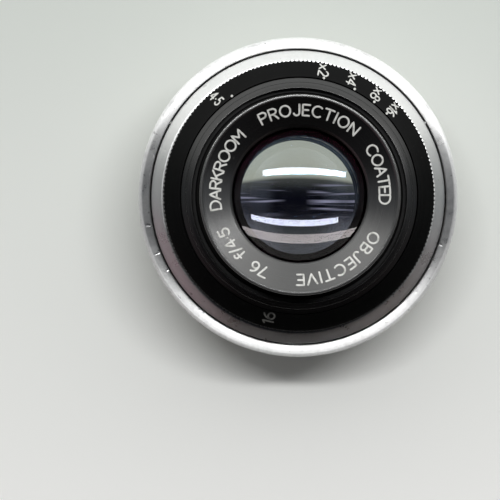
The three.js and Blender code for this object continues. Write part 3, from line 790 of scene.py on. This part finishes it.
def sphere_points(rim, edge_z, centre_z):
    """Points of a spherical surface from the axis to the rim."""
    sag = centre_z - edge_z
    points = []
    for i in range(SURFACE_RINGS + 1):
        r = rim * i / SURFACE_RINGS
        z = centre_z
        if abs(sag) > 1e-6:
            curvature = (rim**2 + sag**2) / (2 * abs(sag))
            drop = curvature - math.sqrt(curvature**2 - r**2)
            z = centre_z - math.copysign(drop, sag)
        points.append((r, z))
    return points


def lens_element(node, material, cemented=0):
    """One element with spherical faces and a blackened edge. cemented says which face is glued to
    its neighbour: 1 for the front, -1 for the rear."""
    rim = max(r for r, z in outline(node))
    edges = [z for r, z in outline(node) if abs(r - rim) < 1e-6]
    centres = [v.co.z for v in frame["nodes"][node].data.vertices if v.co.xy.length < 1e-6]
    rear_edge, front_edge = min(edges), max(edges)
    middle = (rear_edge + front_edge) / 2
    rear = min((z for z in centres if z < middle), default=rear_edge)
    front = max((z for z in centres if z > middle), default=front_edge)
    points = sphere_points(rim, rear_edge, rear) + sphere_points(rim, front_edge, front)[::-1]
    piece = turned(f"{node}_polished", points, GLASS_SIDES)
    stand_for(piece, node, "barrel", material)
    piece.data.materials.append(EDGE_BLACK)
    piece.data.materials.append(CEMENT)
    for face in piece.data.polygons:
        if abs(face.normal.z) < EDGE_SLOPE:
            face.material_index = EDGE_SLOT
        elif face.normal.z * cemented > 0:
            face.material_index = CEMENT_SLOT
    return piece


def glass_pieces():
    front = lens_element("front_element", FRONT_GLASS)
    front.data.materials.append(PAINTED_SHADE_RIM_GLASS)
    # the rim zone takes the less reflective glass, as painted shade
    for face in front.data.polygons:
        if face.normal.z > EDGE_SLOPE and face.center.xy.length > FRONT_RIM_RADIUS:
            face.material_index = RIM_SLOT
    lens_element("middle_element", MIDDLE_GLASS)
    lens_element("rear_outer_element", REAR_GLASS, cemented=1)
    lens_element("rear_inner_element", REAR_GLASS, cemented=-1)


# ---- Engraved characters -------------------------------------------------------------------


def arc(cx, cy, rx, ry, start, end, steps=14):
    """Points of an arc, with its angles in degrees."""
    turns = [math.radians(start + (end - start) * i / steps) for i in range(steps + 1)]
    return [(cx + rx * math.cos(t), cy + ry * math.sin(t)) for t in turns]


# Single strokes of each character, one unit high, with the width that it takes.
GLYPHS = {
    "A": (0.72, [[(0, 0), (0.36, 1), (0.72, 0)], [(0.13, 0.34), (0.59, 0.34)]]),
    "B": (0.6, [[(0, 0), (0, 1), *arc(0.3, 0.76, 0.24, 0.24, 90, -90), (0, 0.52)],
                [*arc(0.3, 0.26, 0.28, 0.26, 90, -90), (0, 0)]]),
    "C": (0.74, [arc(0.42, 0.5, 0.42, 0.5, 52, 308)]),
    "D": (0.68, [[(0, 0), (0, 1), *arc(0.24, 0.5, 0.44, 0.5, 90, -90), (0, 0)]]),
    "E": (0.54, [[(0.54, 1), (0, 1), (0, 0), (0.54, 0)], [(0, 0.52), (0.44, 0.52)]]),
    "I": (0.06, [[(0.03, 0), (0.03, 1)]]),
    "J": (0.5, [[(0.48, 1), *arc(0.25, 0.26, 0.23, 0.26, 0, -165)]]),
    "K": (0.62, [[(0, 0), (0, 1)], [(0.58, 1), (0, 0.4)], [(0.2, 0.6), (0.62, 0)]]),
    "M": (0.82, [[(0, 0), (0.06, 1), (0.41, 0.35), (0.76, 1), (0.82, 0)]]),
    "N": (0.64, [[(0, 0), (0, 1), (0.64, 0), (0.64, 1)]]),
    "O": (0.82, [arc(0.41, 0.5, 0.41, 0.5, 0, 360, 28)]),
    "P": (0.58, [[(0, 0), (0, 1), *arc(0.3, 0.74, 0.27, 0.26, 90, -90), (0, 0.48)]]),
    "R": (0.62, [[(0, 0), (0, 1), *arc(0.3, 0.74, 0.27, 0.26, 90, -90), (0, 0.48)],
                 [(0.3, 0.48), (0.62, 0)]]),
    "T": (0.66, [[(0, 1), (0.66, 1)], [(0.33, 1), (0.33, 0)]]),
    "V": (0.7, [[(0, 1), (0.35, 0), (0.7, 1)]]),
    "f": (0.4, [[*arc(0.34, 0.78, 0.17, 0.22, 40, 180), (0.17, 0)], [(0, 0.6), (0.4, 0.6)]]),
    "/": (0.4, [[(0, -0.05), (0.4, 1.05)]]),
    ".": (0.26, [[(0.12, 0.42), (0.14, 0.42)]]),
    "x": (0.5, [[(0, 0), (0.5, 0.62)], [(0, 0.62), (0.5, 0)]]),
    "1": (0.24, [[(0.02, 0.8), (0.22, 1), (0.22, 0)]]),
    "2": (0.56, [[*arc(0.28, 0.72, 0.26, 0.28, 165, -35), (0, 0), (0.56, 0)]]),
    "4": (0.62, [[(0.46, 0), (0.46, 1), (0, 0.28), (0.62, 0.28)]]),
    "5": (0.56, [[(0.52, 1), (0.1, 1), (0.05, 0.56), *arc(0.26, 0.31, 0.3, 0.31, 125, -150)]]),
    "6": (0.58, [[*arc(0.52, 0.34, 0.5, 0.66, 100, 178), *arc(0.3, 0.3, 0.28, 0.3, 180, -180)]]),
    "7": (0.58, [[(0, 1), (0.58, 1), (0.2, 0)]]),
    "8": (0.58, [arc(0.29, 0.76, 0.23, 0.24, -90, 270, 24),
                 arc(0.29, 0.27, 0.29, 0.27, 90, 450, 24)]),
}


def resampled(points, step):
    """The same stroke with its long straight runs cut into short steps."""
    result = [points[0]]
    for here, onward in zip(points, points[1:]):
        parts = max(1, round(math.dist(here, onward) / step))
        for part in range(1, parts + 1):
            t = part / parts
            x = here[0] + (onward[0] - here[0]) * t
            y = here[1] + (onward[1] - here[1]) * t
            result.append((x, y))
    return result


STROKE_PROFILE = 10  # points round one cross-section
STROKE_STEP = 0.12  # longest step along a stroke, in character heights
CAP_LAPS = (0.4, 0.75, 0.95)  # sections of a rounded end, in half widths


def section(centre, side, normal, width, height):
    """One elliptical cross-section of a stroke."""
    result = []
    for k in range(STROKE_PROFILE):
        turn = TAU * k / STROKE_PROFILE
        across = side * (width / 2 * math.cos(turn))
        result.append(centre + across + normal * (height * math.sin(turn)))
    return result


def stroke(verts, faces, points, width, height, up):
    """Adds one stroke of paint: a low rounded ridge along points that lie on a surface."""
    sections = []
    last = len(points) - 1
    for i, point in enumerate(points):
        ahead = (points[min(i + 1, last)] - points[max(i - 1, 0)]).normalized()
        normal = up(point)
        side = normal.cross(ahead)
        laps = [(0.0, 1.0)]
        if i == 0:
            laps = [(-lap, math.sqrt(1 - lap**2)) for lap in reversed(CAP_LAPS)] + laps
        if i == last:
            laps += [(lap, math.sqrt(1 - lap**2)) for lap in CAP_LAPS]
        for lap, scale in laps:
            centre = point + ahead * (width / 2 * lap)
            sections.append(section(centre, side, normal, width * scale, height * scale))
    first = len(verts)
    for ring in sections:
        verts.extend(ring)
    for i in range(len(sections) - 1):
        here = first + i * STROKE_PROFILE
        there = here + STROKE_PROFILE
        for k in range(STROKE_PROFILE):
            j = (k + 1) % STROKE_PROFILE
            faces.append((here + k, here + j, there + j, there + k))
    faces.append(tuple(range(first, first + STROKE_PROFILE)))
    faces.append(tuple(range(len(verts) - STROKE_PROFILE, len(verts))))


def word_width(text, gap):
    """The width of a word, in units of the character height."""
    return sum(GLYPHS[c][0] for c in text) + gap * (len(text) - 1)


def lay_word(text, gap):
    """The strokes of a word on its own baseline, in units of the character height."""
    x, strokes = 0.0, []
    for c in text:
        width, lines = GLYPHS[c]
        for line in lines:
            strokes.append([(x + px, py) for px, py in resampled(line, STROKE_STEP)])
        x += width + gap
    return strokes


class Cone:
    """The conical face of a turned piece, between two of its outline's corners."""

    def __init__(self, inner, outer):
        self.inner, self.outer = Vector(inner), Vector(outer)
        self.slope = (self.outer.y - self.inner.y) / (self.outer.x - self.inner.x)

    def at(self, radius, angle):
        z = self.inner.y + (radius - self.inner.x) * self.slope
        return Vector((radius * math.cos(angle), radius * math.sin(angle), z))

    def up(self, point):
        angle = math.atan2(point.y, point.x)
        tilt = math.atan(self.slope)
        out = -math.sin(tilt)
        return Vector((out * math.cos(angle), out * math.sin(angle), math.cos(tilt)))


# Words round the name ring: the angles in degrees at which each starts and ends, clockwise.
NAME_WORDS = (
    ("DARKROOM", 190, 133),
    ("PROJECTION", 118, 48),
    ("COATED", 35, -6),
    ("OBJECTIVE", -27, -92),
    ("76", -113, -124.5),
    ("f/4.5", -133, -156),
)
# Exposure factors on the aperture ring: the angle of each, and of its dot, with the iris open.
SCALE = (
    ("4.5", 130.3, 124.0),
    ("x2", 78.8, 78.1),
    ("x4", 65.2, 62.5),
    ("x8", 52.4, 51.3),
    ("x16", 42.3, 43.2),
)
WORN_NUMBER = ("16", 256.0)
PAINT_HEIGHT = 0.02 * MM
NAME_FOOT = 11.5 * MM  # radius on which the words stand
NAME_SIZE = 1.72 * MM
NAME_RISE = 1.52 * MM  # height of the words along the radius
NAME_STROKE = 0.28 * MM
SCALE_START = 19.65 * MM  # radius at which a number starts
SCALE_LENGTH = 1.7 * MM
SCALE_SIZE = 1.45 * MM
SCALE_STROKE = 0.23 * MM
DOT_ENDS = (17.62 * MM, 17.68 * MM)
DOT_STROKE = 0.36 * MM
WORN_START = 19.3 * MM
WORN_SIZE = 1.6 * MM
WORN_STROKE = 0.26 * MM
CONE_DROP = 0.2 * MM  # a stretch of an outline with less rise than this is not a cone


def engraving(name, strokes, cone, width, body, material=WHITE):
    """One piece of paint made of all the strokes that are given."""
    verts, faces = [], []
    for points in strokes:
        stroke(verts, faces, points, width, PAINT_HEIGHT, cone.up)
    piece = new_object(name, [tuple(v) for v in verts], faces)
    stand_for(piece, None, body, material)


def cone_of(node, low, high):
    """The widest conical face of a turned node between two radii."""
    points = [p for p in outline(node) if low <= p[0] <= high]
    pairs = [(a, b) for a in points for b in points if a[0] < b[0] and abs(a[1] - b[1]) > CONE_DROP]
    return Cone(*max(pairs, key=lambda pair: pair[1][0] - pair[0][0]))


def name_engraving():
    """The words round the name ring, each spread over its own angle."""
    cone = cone_of("name_ring", 10.1 * MM, 14.0 * MM)
    strokes = []
    for text, start, end in NAME_WORDS:
        room = math.radians(start - end) * NAME_FOOT / NAME_SIZE
        gap = (room - word_width(text, 0)) / (len(text) - 1)
        for line in lay_word(text, gap):
            turns = [(math.radians(start) - x * NAME_SIZE / NAME_FOOT, y) for x, y in line]
            strokes.append([cone.at(NAME_FOOT + y * NAME_RISE, angle) for angle, y in turns])
    engraving("name_engraving", strokes, cone, NAME_STROKE, "barrel")


def radial_number(cone, text, angle, size, start, length, gap=0.2):
    """The strokes of a number that reads inwards along a radius, its top towards clockwise."""
    squeeze = min(1.0, length / (word_width(text, gap) * size))
    strokes = []
    for line in lay_word(text, gap):
        radii = [(start - x * size * squeeze, y) for x, y in line]
        strokes.append([cone.at(r, angle - (y - 0.5) * size / r) for r, y in radii])
    return strokes


def scale_engraving():
    """The numbers of the scale, a dot for each, and one number whose paint is worn off."""
    cone = cone_of("aperture_ring", 17.4 * MM, 19.9 * MM)
    strokes, dots = [], []
    for text, degrees, dot in SCALE:
        angle = math.radians(degrees)
        strokes += radial_number(cone, text, angle, SCALE_SIZE, SCALE_START, SCALE_LENGTH)
        dots.append([cone.at(radius, math.radians(dot)) for radius in DOT_ENDS])
    engraving("scale_engraving", strokes, cone, SCALE_STROKE, "aperture_ring")
    engraving("scale_dots", dots, cone, DOT_STROKE, "aperture_ring")
    text, degrees = WORN_NUMBER
    angle = math.radians(degrees)
    worn = radial_number(cone, text, angle, WORN_SIZE, WORN_START, SCALE_LENGTH)
    engraving("worn_number", worn, cone, WORN_STROKE, "aperture_ring", WORN_WHITE)


# ---- Studio --------------------------------------------------------------------------------


LAMP_SIZE = (0.63, 0.042)
LAMP_RADIANCE = 30
LAMP_PLACE = (0.07, 0.181, 0.6)
FLOOR_HALF = 3.0
FLOOR_GAP = 0.1 * MM
CARD_RADIUS = 12.8 * MM
CARD_SIDES = 64
CARD_Z = 0.05 * MM
CAMERA_PLACE = (-7.2 * MM, -7.95 * MM, 315.5 * MM)
SENSOR = 36.0  # in mm
FOCAL_LENGTH = 144.0  # in mm


def lobe(graph, direction, towards, outer, inner):
    """One within a cone of directions, nothing outside it, and soft between its two angles."""
    near = graph.vector("DOT_PRODUCT", direction, Vector(towards).normalized())
    limits = (math.cos(math.radians(outer)), math.cos(math.radians(inner)))
    return graph.span(near, *limits, smooth=True)


def room(g, direction):
    """The room from its -Y side to its +Y side, darker where it is high."""
    colour = g.ramp(
        g.span(g.parts(direction)[1], -1, 1),
        (0.0, (0.04, 0.024, 0.024)),
        (0.07, (0.1, 0.078, 0.073)),
        (0.2, (0.075, 0.062, 0.06)),
        (0.36, (0.14, 0.13, 0.134)),
        (0.5, (0.175, 0.19, 0.195)),
        (0.6, (0.2, 0.21, 0.21)),
        (0.68, (0.45, 0.46, 0.45)),
        (0.78, (1.0, 1.01, 0.99)),
        (1.0, (1.1, 1.12, 1.1)),
    )
    high = g.span(g.parts(direction)[2], 0.55, 0.66)
    return g.mixed(g.math("MULTIPLY", high, 0.34), colour, (0.0, 0.0, 0.0))


def glows(g, direction, colour):
    """A faint pink glow low on the -X side, and a bright one on each side of +Y."""
    blush = g.math("MULTIPLY", lobe(g, direction, (-0.87, -0.5, 0.05), 38, 5), 0.6)
    colour = g.mixed(blush, colour, (0.25, 0.16, 0.185))
    for side in (-1, 1):
        glow = lobe(g, direction, (side * 0.52, 0.5, 0.7), 26, 6)
        colour = g.mixed(glow, colour, (0.95, 0.95, 0.93))
    return colour


def shades(g, direction, colour):
    """Dark on the -Y side and straight over the lens, a dim wall and a dark corner each side."""
    colour = g.mixed(lobe(g, direction, (0, -0.72, 0.7), 46, 26), colour, (0.006, 0.005, 0.005))
    flat = g.vector("MULTIPLY", direction, (0.4, 1.0, 0.0))
    overhead = g.span(g.vector("LENGTH", flat, flat), 0.3, 0.2, smooth=True)
    above = g.span(g.parts(direction)[2], 0.1, 0.2)
    colour = g.mixed(g.math("MULTIPLY", overhead, above), colour, (0.008, 0.009, 0.012))
    for side, light in ((-1, 0.13), (1, 0.2)):
        wall = lobe(g, direction, (side * 0.55, 0.02, 0.83), 20, 8)
        colour = g.mixed(wall, colour, (light * 0.95, light, light * 1.08))
        corner = lobe(g, direction, (side * 0.52, -0.36, 0.78), 22, 10)
        colour = g.mixed(corner, colour, (0.01, 0.01, 0.012))
    return colour


def world():
    """The soft light of the studio all round the lens."""
    scene = bpy.context.scene
    scene.world = bpy.data.worlds.new("studio")
    scene.world.use_nodes = True
    g = Graph(scene.world.node_tree)
    direction = g.nodes.new("ShaderNodeTexCoord").outputs["Generated"]
    colour = room(g, direction)
    colour = glows(g, direction, colour)
    colour = shades(g, direction, colour)
    back = g.nodes.new("ShaderNodeBackground")
    g.link(colour, back.inputs["Color"])
    output = g.nodes.new("ShaderNodeOutputWorld")
    g.link(back.outputs[0], output.inputs[0])


def strip_light():
    """The long lamp whose images are the bright bars in the glass."""
    width, height = LAMP_SIZE
    data = bpy.data.lights.new("strip", "AREA")
    data.shape = "RECTANGLE"
    data.size, data.size_y = width, height
    data.energy = LAMP_RADIANCE * math.pi * width * height
    lamp = bpy.data.objects.new("strip", data)
    bpy.context.scene.collection.objects.link(lamp)
    lamp.location = LAMP_PLACE
    facing = Vector((LAMP_PLACE[0], 0, 0)) - lamp.location
    lamp.rotation_euler = facing.to_track_quat("-Z", "Y").to_euler()


def floor():
    """Pale paper just under the lens, with painted light that makes it brighter towards -Y."""
    half = FLOOR_HALF
    corners = [(-half, -half, 0), (half, -half, 0), (half, half, 0), (-half, half, 0)]
    piece = new_object("floor", corners, [(0, 1, 2, 3)])
    m = Shader("floor_paper", Roughness=0.8, Specular_IOR_Level=0.2)
    # painted light: the paper is brighter towards -Y and darker towards +Y
    painted_light_falloff = m.span(m.parts(m.position())[1], 0.03, -0.05)
    fibres = m.noise(m.position(), 900, 3.0)
    paper = m.ramp(painted_light_falloff, (0.0, (0.71, 0.745, 0.705)), (1.0, (0.98, 0.98, 0.96)))
    m.use("Base Color", paper)
    m.bump(fibres, 0.05, 0.05 * MM)
    piece.data.materials.append(m.material)
    piece.location.z = CAD_BOX[0][2] - FLOOR_GAP


def card_colour(g):
    """Painted light and shade seen through the lens: dark below, bright above an edge that bows up
    at the sides, with faint streaky painted reflections aside.
    """
    x, y, _ = g.parts(g.position())
    bow = g.math("MULTIPLY", g.math("MULTIPLY", x, x), 12)
    # painted light and shade: a bright lit table above, a dark thing below
    colour = g.ramp(
        g.span(g.math("ADD", y, bow), -10 * MM, 10 * MM),
        (0.0, (0.012, 0.014, 0.012)),
        (0.27, (0.012, 0.014, 0.012)),
        (0.33, (0.004, 0.004, 0.006)),
        (0.5, (0.001, 0.001, 0.003)),
        (0.58, (0.006, 0.007, 0.009)),
        (0.66, (0.06, 0.065, 0.065)),
        (0.69, (0.41, 0.435, 0.395)),
        (1.0, (0.41, 0.435, 0.395)),
    )
    # painted reflections: faint bluish streaks on each side
    stretched = g.vector("MULTIPLY", g.position(), (60, 1300, 1))
    painted_reflection_streaks = g.span(g.noise(stretched, 1.0, 2.0), 0.51, 0.62)
    aside = g.span(g.math("ABSOLUTE", x), 1.5 * MM, 4.5 * MM)
    inside = g.math("MULTIPLY", g.span(y, -3 * MM, -1 * MM), g.span(y, 3 * MM, 1.5 * MM))
    place = g.math("MULTIPLY", aside, inside)
    return g.mixed(g.math("MULTIPLY", painted_reflection_streaks, place), colour, (0.3, 0.3, 0.45))


def view_through():
    """A card behind the rear cell that glows though it is no lamp: painted light and shade of what
    a bright table and a dark thing on it look like through the open lens."""
    turns = [TAU * i / CARD_SIDES for i in range(CARD_SIDES)]
    rim = [(CARD_RADIUS * math.cos(turn), CARD_RADIUS * math.sin(turn), 0) for turn in turns]
    card = new_object("card", rim, [tuple(range(CARD_SIDES))])
    material = bpy.data.materials.new("card")
    material.use_nodes = True
    g = Graph(material.node_tree)
    glow = g.nodes.new("ShaderNodeEmission")
    g.link(card_colour(g), glow.inputs["Color"])
    output = g.nodes.new("ShaderNodeOutputMaterial")
    g.link(glow.outputs[0], output.inputs[0])
    card.data.materials.append(material)
    card.location.z = CARD_Z


def camera():
    """Over the front of the lens, looking straight down."""
    data = bpy.data.cameras.new("camera")
    data.sensor_width = SENSOR
    data.lens = FOCAL_LENGTH
    data.clip_start = 0.01
    view = bpy.data.objects.new("camera", data)
    bpy.context.scene.collection.objects.link(view)
    view.location = CAMERA_PLACE
    bpy.context.scene.camera = view


silver_pieces()
black_pieces()
kept_pieces()
for blade_number in range(1, BLADES + 1):
    iris_blade(blade_number)
glass_pieces()
name_engraving()
scale_engraving()
world()
strip_light()
floor()
view_through()
camera()
bpy.context.scene.view_settings.view_transform = "Standard"
